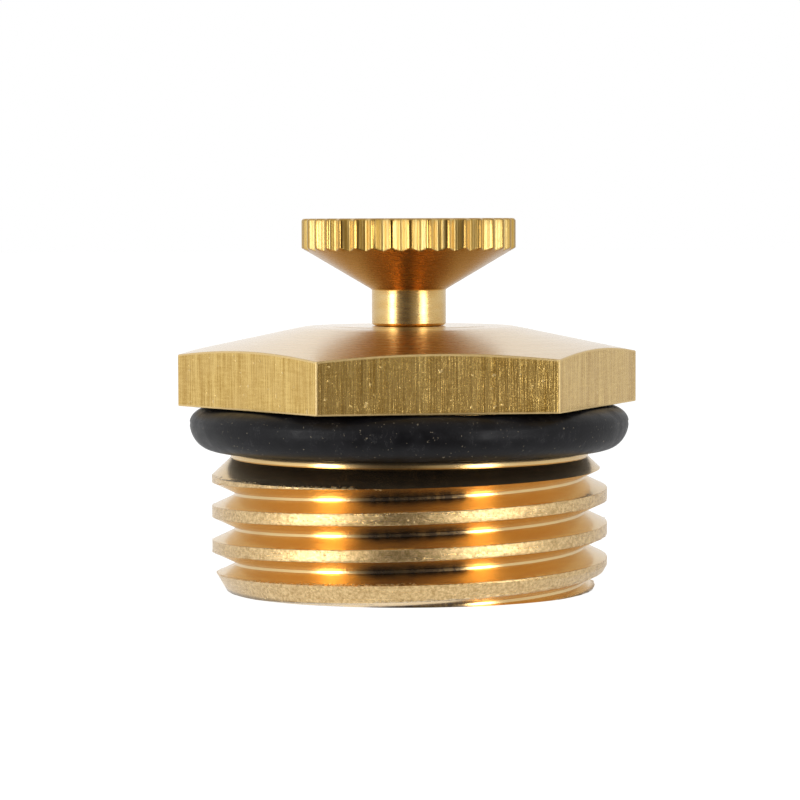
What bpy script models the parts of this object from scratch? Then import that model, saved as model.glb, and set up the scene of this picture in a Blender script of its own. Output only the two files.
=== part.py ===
"""Automatic air vent for a radiator: a hexagonal G1/2 brass plug with a sealing ring,
a knurled shut-off knob on a short screw, a pack of swelling fibre discs and an inlet check valve.

Metres, +Z up. The origin is the centre of the plug's threaded end, and the axis is Z.
"""

import math

import bmesh
import bpy
from mathutils import Matrix, Vector

MM = 0.001
GAP = 0.03 * MM  # left between pieces that touch
RUNNING = 0.05 * MM  # radial clearance of a piece that slides or turns in a hole
CUT_OVER = 0.5 * MM  # how far a cutter runs past what it cuts

# Plug: outside
ACROSS_FLATS = 21.0 * MM
THREAD_PITCH = 1.814 * MM
THREAD_RADIUS = 10.35 * MM
THREAD_DEPTH = 1.165 * MM
CREST_WIDTH = 0.60 * MM
ROOT_WIDTH = 0.14 * MM
CREST_HEIGHT_AT_X = 3.22 * MM  # middle of one crest, on the +X side
THREAD_TOP = 5.98 * MM
GROOVE_BELOW = 2.50  # the groove starts this many pitches below that crest, clear of the end face
GROOVE_ABOVE = 1.75  # and runs out this many above it
LIP_RADIUS = 9.33 * MM
LIP_BOTTOM = 6.93 * MM
LIP_TOP = 7.26 * MM
RING_GROOVE_RADIUS = 8.90 * MM
HEAD_BOTTOM = 9.66 * MM
HEAD_CORNER_TOP = 12.33 * MM
PLATEAU_HEIGHT = 13.74 * MM
PLATEAU_RADIUS = 5.40 * MM
END_CHAMFER_HEIGHT = 1.26 * MM
END_RADIUS = 9.62 * MM

# Plug: inside
MOUTH_RADIUS = 8.00 * MM
MOUTH_CHAMFER = 0.20 * MM
MOUTH_STEP = 3.67 * MM
CHAMBER_RADIUS = 7.40 * MM
CHAMBER_ROOF = 10.20 * MM
VENT_HOLE_RADIUS = 0.60 * MM
STEM_SEAT = 11.00 * MM
STEM_HOLE_RADIUS = 1.50 * MM
STEM_HOLE_CHAMFER = 0.25 * MM
SNAP_GROOVE_RADIUS = 8.33 * MM
SNAP_GROOVE_BOTTOM = 0.55 * MM
SNAP_GROOVE_TOP = 1.15 * MM

# Sealing ring under the head, pressed out of round
O_RING_OUTER = 11.48 * MM
O_RING_WIDEST = 8.75 * MM

# Knob
KNOB_TOP = 19.35 * MM
KNOB_RADIUS = 5.60 * MM
KNOB_RIM_BOTTOM = 17.81 * MM
KNOB_EDGE = 0.08 * MM
NECK_TOP = 15.65 * MM
NECK_RADIUS = 1.94 * MM
NECK_CHAMFER = 0.20 * MM
STEM_END = STEM_SEAT + 0.56 * MM
FLUTES = 36
FLUTE_CUTTER_RADIUS = 0.42 * MM
FLUTE_DEPTH = 0.25 * MM
FLUTE_PHASE = math.radians(8)
VENT_FLAT = 1.05 * MM  # distance of the stem's flat from the axis
VENT_FLAT_END = 0.05 * MM  # the flat stops this far below the neck
VENT_NOTCH_WIDTH = 0.40 * MM
VENT_NOTCH_DEPTH = 0.25 * MM
PAD_RADIUS = 1.20 * MM
PAD_BOSS_RADIUS = 0.80 * MM
PAD_BOSS_HEIGHT = 0.35 * MM

# Stack inside the chamber, from the mouth upwards
SNAP_WIRE_RADIUS = 0.27 * MM
SNAP_GAP = math.radians(26)
INLET_CAP_THICKNESS = 1.00 * MM
INLET_HOLES = 6
INLET_HOLE_RADIUS = 1.05 * MM
INLET_HOLE_CIRCLE = 4.60 * MM
STRAINER_THICKNESS = 0.20 * MM
STRAINER_HOLE_RADIUS = 0.45 * MM
STRAINER_SPACING = 1.90 * MM
STRAINER_REACH = 3  # rings of holes round the middle one
CHECK_SEAT_THICKNESS = 0.80 * MM
CHECK_HOLE_RADIUS = 1.60 * MM
CHECK_LIP_WIDTH = 0.40 * MM
CHECK_LIP_HEIGHT = 0.20 * MM
SEAL_RING_THICKNESS = 0.40 * MM
POPPET_SEAL_THICKNESS = 0.50 * MM
POPPET_SEAL_INSET = 0.20 * MM
POPPET_THICKNESS = 0.50 * MM
POPPET_RADIUS = 2.80 * MM
POPPET_STEM_RADIUS = 0.90 * MM
POPPET_STEM_TOP = 6.35 * MM
SPRING_RADIUS = 1.35 * MM
SPRING_WIRE_RADIUS = 0.10 * MM
SPRING_TURNS = 2.5
CAGE_RADIUS = 7.30 * MM
CAGE_WALL = 0.70 * MM
CAGE_FLOOR = 5.95 * MM
CAGE_FLOOR_THICKNESS = 0.60 * MM
CAGE_TOP = 10.10 * MM
CAGE_SLOTS = 8
CAGE_SLOT_WIDTH = 1.60 * MM
CAGE_SLOT_SILL = 0.40 * MM
CAGE_RIM_HEIGHT = 0.60 * MM
CAGE_HOLES = 12
CAGE_HOLE_RADIUS = 0.50 * MM
CAGE_HOLE_CIRCLE = 6.02 * MM
DISCS = 8
DISC_THICKNESS = 0.30 * MM
DISC_RADIUS = 5.70 * MM
DISC_HOLE_RADIUS = 1.50 * MM
TOP_WASHER_THICKNESS = 0.45 * MM
TOP_GASKET_RADIUS = 4.00 * MM

# Fineness of the round shapes
THREAD_STEPS = 48
ROUND_STEPS = 48
INNER_STEPS = 32
SMALL_STEPS = 16
FLUTE_STEPS = 12
SPRING_STEPS = 12
O_RING_STEPS = 16
DISC_STEPS = 24
TINY_STEPS = 8
STRAINER_HOLE_STEPS = 6
SNAP_RING_POINTS = 49

BRASS = (0.72, 0.50, 0.20)
BRIGHT_BRASS = (0.80, 0.58, 0.24)
BLACK_RUBBER = (0.03, 0.03, 0.035)
WHITE_PTFE = (0.85, 0.85, 0.82)
ACETAL = (0.80, 0.79, 0.74)
FIBRE = (0.52, 0.36, 0.22)
STEEL = (0.62, 0.62, 0.60)


# ---------------------------------------------------------------- helpers


def clear_scene():
    for obj in list(bpy.data.objects):
        bpy.data.objects.remove(obj, do_unlink=True)


def new_collection(name, hidden=False):
    collection = bpy.data.collections.new(name)
    bpy.context.scene.collection.children.link(collection)
    collection.hide_render = hidden
    return collection


def material(name, colour, roughness, metallic):
    mat = bpy.data.materials.new(name)
    mat.use_nodes = True
    shader = mat.node_tree.nodes["Principled BSDF"]
    shader.inputs["Base Color"].default_value = (*colour, 1)
    shader.inputs["Roughness"].default_value = roughness
    shader.inputs["Metallic"].default_value = metallic
    mat.diffuse_color = (*colour, 1)
    return mat


def place(name, mesh, mat=None):
    """A part when it has a material, otherwise a cutter."""
    obj = bpy.data.objects.new(name, mesh)
    if mat:
        mesh.materials.append(mat)
        parts.objects.link(obj)
    else:
        obj.hide_render = True
        obj.display_type = "WIRE"
        cutters.objects.link(obj)
    return obj


def turned(name, profile, mat=None, steps=ROUND_STEPS):
    """A profile of (radius, height) points turned about Z. It runs down its outer side.

    A profile that starts and ends on the axis stays open, and any other is closed to a ring.
    """
    mesh = bpy.data.meshes.new(name)
    count = len(profile)
    edges = [(i, i + 1) for i in range(count - 1)]
    if profile[0][0] > 0:
        edges.append((count - 1, 0))
    mesh.from_pydata([(r, 0, z) for r, z in profile], edges, [])
    obj = place(name, mesh, mat)
    screw = obj.modifiers.new("Screw", "SCREW")
    screw.axis = "Z"
    screw.angle = 2 * math.pi
    screw.steps = screw.render_steps = steps
    screw.use_merge_vertices = True
    screw.merge_threshold = 1e-6
    screw.use_smooth_shade = False
    return obj


def washer(name, inner, outer, bottom, thickness, mat, steps=INNER_STEPS):
    top = bottom + thickness
    return turned(name, [(inner, top), (outer, top), (outer, bottom), (inner, bottom)], mat, steps)


def from_bmesh(name, bm, mat=None):
    bmesh.ops.recalc_face_normals(bm, faces=bm.faces)
    mesh = bpy.data.meshes.new(name)
    bm.to_mesh(mesh)
    bm.free()
    return place(name, mesh, mat)


def cylinders(name, centres, radius, bottom, top, segments=SMALL_STEPS):
    """Upright cylinders at the (x, y) centres, as one cutter."""
    bm = bmesh.new()
    for x, y in centres:
        bmesh.ops.create_cone(
            bm,
            cap_ends=True,
            segments=segments,
            radius1=radius,
            radius2=radius,
            depth=top - bottom,
            matrix=Matrix.Translation((x, y, (bottom + top) / 2)),
        )
    return from_bmesh(name, bm)


def boxes(name, low, high, angles):
    """A box given at +X by two corners, repeated at the angles about Z, as one cutter."""
    low, high = Vector(low), Vector(high)
    bm = bmesh.new()
    for angle in angles:
        scale = Matrix.Diagonal((*(high - low), 1))
        spot = Matrix.Rotation(angle, 4, "Z") @ Matrix.Translation((low + high) / 2)
        bmesh.ops.create_cube(bm, size=1, matrix=spot @ scale)
    return from_bmesh(name, bm)


def ring_of(count, radius, phase=0.0):
    turns = [phase + 2 * math.pi * i / count for i in range(count)]
    return [(radius * math.cos(a), radius * math.sin(a)) for a in turns]


def boolean(obj, other, operation="DIFFERENCE"):
    modifier = obj.modifiers.new(other.name, "BOOLEAN")
    modifier.operation = operation
    modifier.solver = "EXACT"
    modifier.object = other


def wire(name, points, radius, mat):
    """A round wire along the points, as a mesh with its end caps welded on."""
    curve = bpy.data.curves.new(name, "CURVE")
    curve.dimensions = "3D"
    curve.bevel_depth = radius
    curve.bevel_resolution = 2
    curve.use_fill_caps = True
    spline = curve.splines.new("POLY")
    spline.points.add(len(points) - 1)
    for spot, point in zip(spline.points, points):
        spot.co = (*point, 1)
    guide = bpy.data.objects.new(name + "_guide", curve)
    cutters.objects.link(guide)
    graph = bpy.context.evaluated_depsgraph_get()
    mesh = bpy.data.meshes.new_from_object(guide.evaluated_get(graph))
    bpy.data.objects.remove(guide, do_unlink=True)
    bm = bmesh.new()
    bm.from_mesh(mesh)
    bmesh.ops.remove_doubles(bm, verts=bm.verts, dist=1e-6)
    bpy.data.meshes.remove(mesh)
    return from_bmesh(name, bm, mat)


def smooth_sides(objects, angle=math.radians(30)):
    """Round sides shaded smooth, with the turned corners kept sharp."""
    for obj in objects:
        for modifier in obj.modifiers:
            if modifier.type == "SCREW":
                modifier.use_smooth_shade = True
        obj.data.shade_smooth()
        obj.data.set_sharp_from_angle(angle=angle)


# ---------------------------------------------------------------- plug


def thread_groove():
    """The thread's groove as a helical cutter, swept from a flat-bottomed V."""
    flank = (THREAD_PITCH - CREST_WIDTH - ROOT_WIDTH) / 2 / THREAD_DEPTH
    inner = THREAD_RADIUS - THREAD_DEPTH
    outer = THREAD_RADIUS + CUT_OVER
    half_inner = ROOT_WIDTH / 2
    half_outer = half_inner + (outer - inner) * flank
    middle = CREST_HEIGHT_AT_X - GROOVE_BELOW * THREAD_PITCH
    steps = round((GROOVE_BELOW + GROOVE_ABOVE) * THREAD_STEPS)
    bm = bmesh.new()
    corners = [(inner, -half_inner), (outer, -half_outer), (outer, half_outer), (inner, half_inner)]
    face = bm.faces.new([bm.verts.new((r, 0, middle + z)) for r, z in corners])
    bmesh.ops.spin(
        bm,
        geom=[face],
        cent=(0, 0, 0),
        axis=(0, 0, 1),
        dvec=(0, 0, THREAD_PITCH / THREAD_STEPS),
        angle=2 * math.pi * steps / THREAD_STEPS,
        steps=steps,
    )
    return from_bmesh("thread_groove", bm)


def hexagon():
    """A prism over the plug's whole height, corners on +X and -X. The thread lies inside it."""
    bm = bmesh.new()
    corner = ACROSS_FLATS / math.sqrt(3)
    height = PLATEAU_HEIGHT + 2 * CUT_OVER
    bmesh.ops.create_cone(
        bm,
        cap_ends=True,
        segments=6,
        radius1=corner,
        radius2=corner,
        depth=height,
        matrix=Matrix.Translation((0, 0, PLATEAU_HEIGHT / 2)) @ Matrix.Rotation(math.pi / 2, 4, "Z"),
    )
    return from_bmesh("hexagon", bm)


def plug_hollow():
    """Stem hole, vent hole, chamber, mouth and snap-ring groove, as one turned cutter."""
    return turned(
        "plug_hollow",
        [
            (0, PLATEAU_HEIGHT + CUT_OVER),
            (STEM_HOLE_RADIUS + STEM_HOLE_CHAMFER + CUT_OVER, PLATEAU_HEIGHT + CUT_OVER),
            (STEM_HOLE_RADIUS, PLATEAU_HEIGHT - STEM_HOLE_CHAMFER),
            (STEM_HOLE_RADIUS, STEM_SEAT),
            (VENT_HOLE_RADIUS, STEM_SEAT),
            (VENT_HOLE_RADIUS, CHAMBER_ROOF),
            (CHAMBER_RADIUS, CHAMBER_ROOF),
            (CHAMBER_RADIUS, MOUTH_STEP),
            (MOUTH_RADIUS, MOUTH_STEP),
            (MOUTH_RADIUS, SNAP_GROOVE_TOP),
            (SNAP_GROOVE_RADIUS, SNAP_GROOVE_TOP),
            (SNAP_GROOVE_RADIUS, SNAP_GROOVE_BOTTOM),
            (MOUTH_RADIUS, SNAP_GROOVE_BOTTOM),
            (MOUTH_RADIUS, MOUTH_CHAMFER),
            (MOUTH_RADIUS + MOUTH_CHAMFER + CUT_OVER, -CUT_OVER),
            (0, -CUT_OVER),
        ],
    )


def make_plug():
    corner = ACROSS_FLATS / math.sqrt(3)
    slope = (PLATEAU_HEIGHT - HEAD_CORNER_TOP) / (corner - PLATEAU_RADIUS)
    blank = corner + CUT_OVER
    plug = turned(
        "plug_body",
        [
            (0, PLATEAU_HEIGHT),
            (PLATEAU_RADIUS, PLATEAU_HEIGHT),
            (blank, PLATEAU_HEIGHT - (blank - PLATEAU_RADIUS) * slope),
            (blank, HEAD_BOTTOM),
            (RING_GROOVE_RADIUS, HEAD_BOTTOM),
            (RING_GROOVE_RADIUS, LIP_TOP),
            (LIP_RADIUS, LIP_TOP),
            (LIP_RADIUS, LIP_BOTTOM),
            (THREAD_RADIUS, THREAD_TOP),
            (THREAD_RADIUS, END_CHAMFER_HEIGHT),
            (END_RADIUS, 0),
            (0, 0),
        ],
        material("satin brass", BRASS, 0.28, 1.0),
        THREAD_STEPS,
    )
    boolean(plug, hexagon(), "INTERSECT")
    boolean(plug, plug_hollow())
    boolean(plug, thread_groove())
    return plug


def make_o_ring():
    inner = RING_GROOVE_RADIUS + GAP
    middle = (inner + O_RING_OUTER) / 2
    width = (O_RING_OUTER - inner) / 2
    rise = HEAD_BOTTOM - 2 * GAP - O_RING_WIDEST
    drop = O_RING_WIDEST - LIP_TOP - 2 * GAP
    profile = []
    for i in range(O_RING_STEPS):
        angle = math.pi / 2 - 2 * math.pi * i / O_RING_STEPS
        height = rise if math.sin(angle) > 0 else drop
        profile.append((middle + width * math.cos(angle), O_RING_WIDEST + height * math.sin(angle)))
    return turned("plug_o_ring", profile, material("black rubber", BLACK_RUBBER, 0.5, 0.0))


# ---------------------------------------------------------------- knob


def make_knob():
    recess_radius = PAD_BOSS_RADIUS + RUNNING
    recess_top = STEM_END + PAD_BOSS_HEIGHT
    neck_foot = PLATEAU_HEIGHT + GAP
    stem = STEM_HOLE_RADIUS - RUNNING
    knob = turned(
        "vent_knob",
        [
            (0, KNOB_TOP),
            (KNOB_RADIUS - KNOB_EDGE, KNOB_TOP),
            (KNOB_RADIUS, KNOB_TOP - KNOB_EDGE),
            (KNOB_RADIUS, KNOB_RIM_BOTTOM),
            (NECK_RADIUS, NECK_TOP),
            (NECK_RADIUS, neck_foot + NECK_CHAMFER),
            (NECK_RADIUS - NECK_CHAMFER, neck_foot),
            (stem, neck_foot),
            (stem, STEM_END),
            (recess_radius, STEM_END),
            (recess_radius, recess_top),
            (0, recess_top),
        ],
        material("bright brass", BRIGHT_BRASS, 0.22, 1.0),
        FLUTES,
    )
    reach = KNOB_RADIUS + FLUTE_CUTTER_RADIUS - FLUTE_DEPTH
    flutes = cylinders(
        "knob_flutes",
        ring_of(FLUTES, reach, FLUTE_PHASE),
        FLUTE_CUTTER_RADIUS,
        KNOB_RIM_BOTTOM - 2 * CUT_OVER,
        KNOB_TOP + CUT_OVER,
        FLUTE_STEPS,
    )
    boolean(knob, flutes)
    flat = boxes(
        "vent_flat",
        (VENT_FLAT, -NECK_RADIUS, STEM_END - CUT_OVER),
        (NECK_RADIUS + CUT_OVER, NECK_RADIUS, neck_foot - VENT_FLAT_END),
        [0.0],
    )
    boolean(knob, flat)
    notch = boxes(
        "vent_notch",
        (VENT_FLAT, -VENT_NOTCH_WIDTH / 2, STEM_END + CUT_OVER),
        (NECK_RADIUS + CUT_OVER, VENT_NOTCH_WIDTH / 2, neck_foot + VENT_NOTCH_DEPTH),
        [0.0],
    )
    boolean(knob, notch)
    return knob


def make_seat_pad():
    face = STEM_SEAT + GAP
    shoulder = STEM_END - GAP
    boss = STEM_END + PAD_BOSS_HEIGHT - 2 * GAP
    return turned(
        "stem_seat_pad",
        [
            (0, boss),
            (PAD_BOSS_RADIUS, boss),
            (PAD_BOSS_RADIUS, shoulder),
            (PAD_RADIUS, shoulder),
            (PAD_RADIUS, face),
            (0, face),
        ],
        material("white ptfe", WHITE_PTFE, 0.4, 0.0),
        SMALL_STEPS,
    )


# ---------------------------------------------------------------- inlet and check valve


def make_retaining_ring():
    """An open ring of round spring wire, sprung into the groove in the mouth."""
    radius = SNAP_GROOVE_RADIUS - GAP - SNAP_WIRE_RADIUS
    height = (SNAP_GROOVE_BOTTOM + SNAP_GROOVE_TOP) / 2
    step = (2 * math.pi - SNAP_GAP) / (SNAP_RING_POINTS - 1)
    angles = [SNAP_GAP / 2 + step * i for i in range(SNAP_RING_POINTS)]
    points = [(radius * math.cos(a), radius * math.sin(a), height) for a in angles]
    return wire("retaining_ring", points, SNAP_WIRE_RADIUS, steel)


def make_inlet_cap():
    bottom = SNAP_GROOVE_TOP
    cap = turned(
        "inlet_cap",
        [
            (0, bottom + INLET_CAP_THICKNESS),
            (MOUTH_RADIUS - RUNNING, bottom + INLET_CAP_THICKNESS),
            (MOUTH_RADIUS - RUNNING, bottom),
            (0, bottom),
        ],
        material("pressed brass", BRASS, 0.35, 1.0),
    )
    centres = [(0.0, 0.0)] + ring_of(INLET_HOLES, INLET_HOLE_CIRCLE)
    top = bottom + INLET_CAP_THICKNESS
    holes = cylinders("inlet_holes", centres, INLET_HOLE_RADIUS, bottom - CUT_OVER, top + CUT_OVER)
    boolean(cap, holes)
    return cap


def make_strainer(bottom):
    top = bottom + STRAINER_THICKNESS
    radius = MOUTH_RADIUS - RUNNING
    strainer = turned(
        "inlet_strainer", [(0, top), (radius, top), (radius, bottom), (0, bottom)], steel
    )
    rows = range(-STRAINER_REACH, STRAINER_REACH + 1)
    centres = []
    for row in rows:
        for column in rows:
            if abs(row + column) <= STRAINER_REACH:
                x = STRAINER_SPACING * (column + row / 2)
                centres.append((x, STRAINER_SPACING * row * math.sqrt(3) / 2))
    low, high = bottom - CUT_OVER, top + CUT_OVER
    holes = cylinders("strainer_holes", centres, STRAINER_HOLE_RADIUS, low, high, STRAINER_HOLE_STEPS)
    boolean(strainer, holes)
    return strainer


def make_check_seat(bottom):
    """A plate with a raised lip round its hole, which the poppet closes on."""
    top = bottom + CHECK_SEAT_THICKNESS
    lip = CHECK_HOLE_RADIUS + CHECK_LIP_WIDTH
    return turned(
        "check_seat",
        [
            (CHECK_HOLE_RADIUS, top + CHECK_LIP_HEIGHT),
            (lip, top + CHECK_LIP_HEIGHT),
            (lip, top),
            (MOUTH_RADIUS - RUNNING, top),
            (MOUTH_RADIUS - RUNNING, bottom),
            (CHECK_HOLE_RADIUS, bottom),
        ],
        material("turned brass", BRASS, 0.3, 1.0),
    )


def make_poppet(bottom):
    """A disc with a guide stem that slides in the cage's floor."""
    top = bottom + POPPET_THICKNESS
    return turned(
        "check_poppet",
        [
            (0, POPPET_STEM_TOP),
            (POPPET_STEM_RADIUS, POPPET_STEM_TOP),
            (POPPET_STEM_RADIUS, top),
            (POPPET_RADIUS, top),
            (POPPET_RADIUS, bottom),
            (0, bottom),
        ],
        acetal,
        INNER_STEPS,
    )


def make_poppet_seal(bottom):
    top = bottom + POPPET_SEAL_THICKNESS
    radius = POPPET_RADIUS - POPPET_SEAL_INSET
    return turned(
        "poppet_seal", [(0, top), (radius, top), (radius, bottom), (0, bottom)], rubber, INNER_STEPS
    )


def make_spring(bottom, top):
    low = bottom + SPRING_WIRE_RADIUS + GAP
    high = top - SPRING_WIRE_RADIUS - GAP
    count = round(SPRING_TURNS * SPRING_STEPS)
    points = []
    for i in range(count + 1):
        angle = 2 * math.pi * i / SPRING_STEPS
        height = low + (high - low) * i / count
        points.append((SPRING_RADIUS * math.cos(angle), SPRING_RADIUS * math.sin(angle), height))
    return wire("check_spring", points, SPRING_WIRE_RADIUS, steel)


# ---------------------------------------------------------------- disc pack


def make_cage(bottom):
    """A cup with a skirt that stands on the check seat, open at the sides for the air."""
    inner = CAGE_RADIUS - CAGE_WALL
    floor_top = CAGE_FLOOR + CAGE_FLOOR_THICKNESS
    guide = POPPET_STEM_RADIUS + RUNNING
    cage = turned(
        "disc_cage",
        [
            (inner, CAGE_TOP),
            (CAGE_RADIUS, CAGE_TOP),
            (CAGE_RADIUS, bottom),
            (inner, bottom),
            (inner, CAGE_FLOOR),
            (guide, CAGE_FLOOR),
            (guide, floor_top),
            (inner, floor_top),
        ],
        acetal,
    )
    slots = boxes(
        "cage_slots",
        (inner - CUT_OVER, -CAGE_SLOT_WIDTH / 2, floor_top + CAGE_SLOT_SILL),
        (CAGE_RADIUS + CUT_OVER, CAGE_SLOT_WIDTH / 2, CAGE_TOP - CAGE_RIM_HEIGHT),
        [2 * math.pi * i / CAGE_SLOTS for i in range(CAGE_SLOTS)],
    )
    boolean(cage, slots)
    holes = cylinders(
        "cage_holes",
        ring_of(CAGE_HOLES, CAGE_HOLE_CIRCLE, math.pi / CAGE_HOLES),
        CAGE_HOLE_RADIUS,
        CAGE_FLOOR - CUT_OVER,
        floor_top + CUT_OVER,
        TINY_STEPS,
    )
    boolean(cage, holes)
    return cage


def make_disc_pack(bottom, roof):
    pack = []
    height = bottom + GAP
    for i in range(DISCS):
        name = f"fibre_disc_{i + 1:02d}"
        disc = washer(name, DISC_HOLE_RADIUS, DISC_RADIUS, height, DISC_THICKNESS, fibre, DISC_STEPS)
        pack.append(disc)
        height += DISC_THICKNESS + GAP
    washer_bottom = height
    pack.append(
        washer("top_washer", DISC_HOLE_RADIUS, DISC_RADIUS, washer_bottom, TOP_WASHER_THICKNESS, steel)
    )
    gasket_bottom = washer_bottom + TOP_WASHER_THICKNESS + GAP
    thickness = roof - GAP - gasket_bottom
    pack.append(
        washer("top_gasket", DISC_HOLE_RADIUS, TOP_GASKET_RADIUS, gasket_bottom, thickness, rubber)
    )
    return pack


# ---------------------------------------------------------------- the whole vent

clear_scene()
parts = new_collection("automatic_air_vent")
cutters = new_collection("cutters", hidden=True)

steel = material("spring steel", STEEL, 0.3, 1.0)
acetal = material("white acetal", ACETAL, 0.45, 0.0)
rubber = material("seal rubber", BLACK_RUBBER, 0.55, 0.0)
fibre = material("cellulose fibre", FIBRE, 0.9, 0.0)

made = [make_plug(), make_o_ring(), make_knob(), make_seat_pad()]
made += [make_retaining_ring(), make_inlet_cap()]
strainer_bottom = SNAP_GROOVE_TOP + INLET_CAP_THICKNESS + GAP
made.append(make_strainer(strainer_bottom))
seat_bottom = strainer_bottom + STRAINER_THICKNESS + GAP
made.append(make_check_seat(seat_bottom))
seat_top = seat_bottom + CHECK_SEAT_THICKNESS
ring_bottom = seat_top + GAP
ring_inner = CHAMBER_RADIUS + RUNNING
made.append(
    washer("cage_seal_ring", ring_inner, MOUTH_RADIUS - RUNNING, ring_bottom, SEAL_RING_THICKNESS, rubber)
)
seal_bottom = seat_top + CHECK_LIP_HEIGHT + GAP
made.append(make_poppet_seal(seal_bottom))
poppet_bottom = seal_bottom + POPPET_SEAL_THICKNESS + GAP
made.append(make_poppet(poppet_bottom))
made.append(make_spring(poppet_bottom + POPPET_THICKNESS, CAGE_FLOOR))
made.append(make_cage(seat_top + GAP))
made += make_disc_pack(CAGE_FLOOR + CAGE_FLOOR_THICKNESS, CHAMBER_ROOF)
smooth_sides(made)
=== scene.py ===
"""The looks of the automatic air vent: fine meshes and procedural brass, rubber, fibre and steel,
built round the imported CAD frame. Lengths are metres and the vent's axis is Z."""

import math

import bmesh
import bpy
import numpy as np
from mathutils import Matrix, Vector, noise


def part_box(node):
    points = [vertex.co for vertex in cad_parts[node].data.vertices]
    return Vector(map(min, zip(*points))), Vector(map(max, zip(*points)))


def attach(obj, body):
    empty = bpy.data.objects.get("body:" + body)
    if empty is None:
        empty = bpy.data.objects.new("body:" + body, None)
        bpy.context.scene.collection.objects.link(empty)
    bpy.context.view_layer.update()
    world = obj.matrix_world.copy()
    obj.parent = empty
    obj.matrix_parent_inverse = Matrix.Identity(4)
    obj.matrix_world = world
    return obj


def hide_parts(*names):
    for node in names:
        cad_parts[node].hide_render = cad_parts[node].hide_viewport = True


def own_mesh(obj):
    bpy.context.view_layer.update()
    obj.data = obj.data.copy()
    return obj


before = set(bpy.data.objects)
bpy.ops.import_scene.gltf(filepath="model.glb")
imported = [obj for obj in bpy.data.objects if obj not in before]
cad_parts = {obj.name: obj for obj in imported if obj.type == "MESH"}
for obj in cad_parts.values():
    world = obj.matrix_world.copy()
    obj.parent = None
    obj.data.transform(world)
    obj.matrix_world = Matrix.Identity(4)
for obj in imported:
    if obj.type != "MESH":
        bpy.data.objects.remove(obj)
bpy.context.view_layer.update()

MM = 0.001
SEED = 7
# Points nearer to each other than this are one point
WELD = 2e-7

# ---------------------------------------------------------------- sizes, from the frame


def high(node):
    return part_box(node)[1]


def low(node):
    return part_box(node)[0]


HEX_CORNER = high("plug_body").x
HEX_FLAT = HEX_CORNER * math.cos(math.pi / 6)
PLATEAU_HEIGHT = high("plug_body").z
KNOB_TOP = high("vent_knob").z
KNOB_RADIUS = high("vent_knob").x
RING_RADIUS = high("plug_o_ring").x
RING_TOP = high("plug_o_ring").z
RING_BOTTOM = low("plug_o_ring").z
STEM_SEAT = low("stem_seat_pad").z - 0.03 * MM

# Plug outline that the frame's boxes don't give
HEAD_BOTTOM = 9.66 * MM
HEX_CORNER_TOP = 12.33 * MM
HEX_CORNER_ROUND = 0.14 * MM
PLATEAU_RADIUS = 5.40 * MM
PLATEAU_STEP_RADIUS = 4.0 * MM
PLATEAU_STEP = 0.02 * MM
RING_GROOVE_RADIUS = 8.90 * MM
LIP_RADIUS = 9.33 * MM
LIP_SWELL = 0.03 * MM
LIP_BOTTOM = 6.93 * MM
LIP_TOP = 7.26 * MM
THREAD_PITCH = 1.814 * MM
THREAD_RADIUS = 10.35 * MM
THREAD_DEPTH = 1.165 * MM
THREAD_TOP = 5.98 * MM
CREST_WIDTH = 0.60 * MM
ROOT_WIDTH = 0.14 * MM
CREST_AT_X = 3.22 * MM
GROOVE_BELOW = 3.5
GROOVE_ABOVE = 1.75
END_CHAMFER_HEIGHT = 1.26 * MM
END_RADIUS = 9.62 * MM
INSIDE_OF_THREAD = 9.15 * MM
STEM_HOLE_RADIUS = 1.50 * MM
STEM_HOLE_MOUTH = 1.80 * MM
STEM_HOLE_BEVEL = 1.74 * MM
VENT_HOLE_RADIUS = 0.60 * MM
CHAMBER_ROOF = 10.20 * MM
CHAMBER_RADIUS = 7.40 * MM
MOUTH_STEP = 3.67 * MM
MOUTH_RADIUS = 8.00 * MM
MOUTH_CHAMFER = 0.20 * MM
SNAP_GROOVE_RADIUS = 8.33 * MM
SNAP_GROOVE_BOTTOM = 0.55 * MM
SNAP_GROOVE_TOP = 1.15 * MM
RING_WIDEST = 8.75 * MM
RING_SEAM = 0.03 * MM

# Knob outline
KNOB_RIM_BOTTOM = 17.81 * MM
NECK_TOP = 15.65 * MM
NECK_RADIUS = 1.94 * MM
FLUTES = 36
FLUTE_PHASE = math.radians(8)
FLUTE_HALF = math.radians(4.15)
FLUTE_DEPTH = 0.25 * MM
STEM_RADIUS = 1.45 * MM
STEM_END = 11.56 * MM
STEM_PITCH = 0.5 * MM
STEM_THREAD_DEPTH = 0.26 * MM
STEM_BORE = 0.85 * MM
STEM_BORE_DEPTH = 0.35 * MM
VENT_FLAT = 1.05 * MM
VENT_FLAT_END = 0.05 * MM
VENT_NOTCH_WIDTH = 0.40 * MM
VENT_NOTCH_DEPTH = 0.25 * MM

# Rows with no feature of their own, which keep the faces near to square
END_FACE_ROWS = (8.7 * MM, 9.1 * MM)
NECK_ROWS = (15.1 * MM, 14.4 * MM)


def extent(node):
    """The height of the node's bottom, the height of its top, and its radius."""
    return low(node).z, high(node).z, high(node).x


# ---------------------------------------------------------------- mesh helpers


def add_object(name, data):
    obj = bpy.data.objects.new(name, data)
    bpy.context.scene.collection.objects.link(obj)
    return obj


def take_mesh(bm, name):
    """The finished bmesh as a new mesh."""
    mesh = bpy.data.meshes.new(name)
    bm.to_mesh(mesh)
    bm.free()
    return mesh


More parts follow.
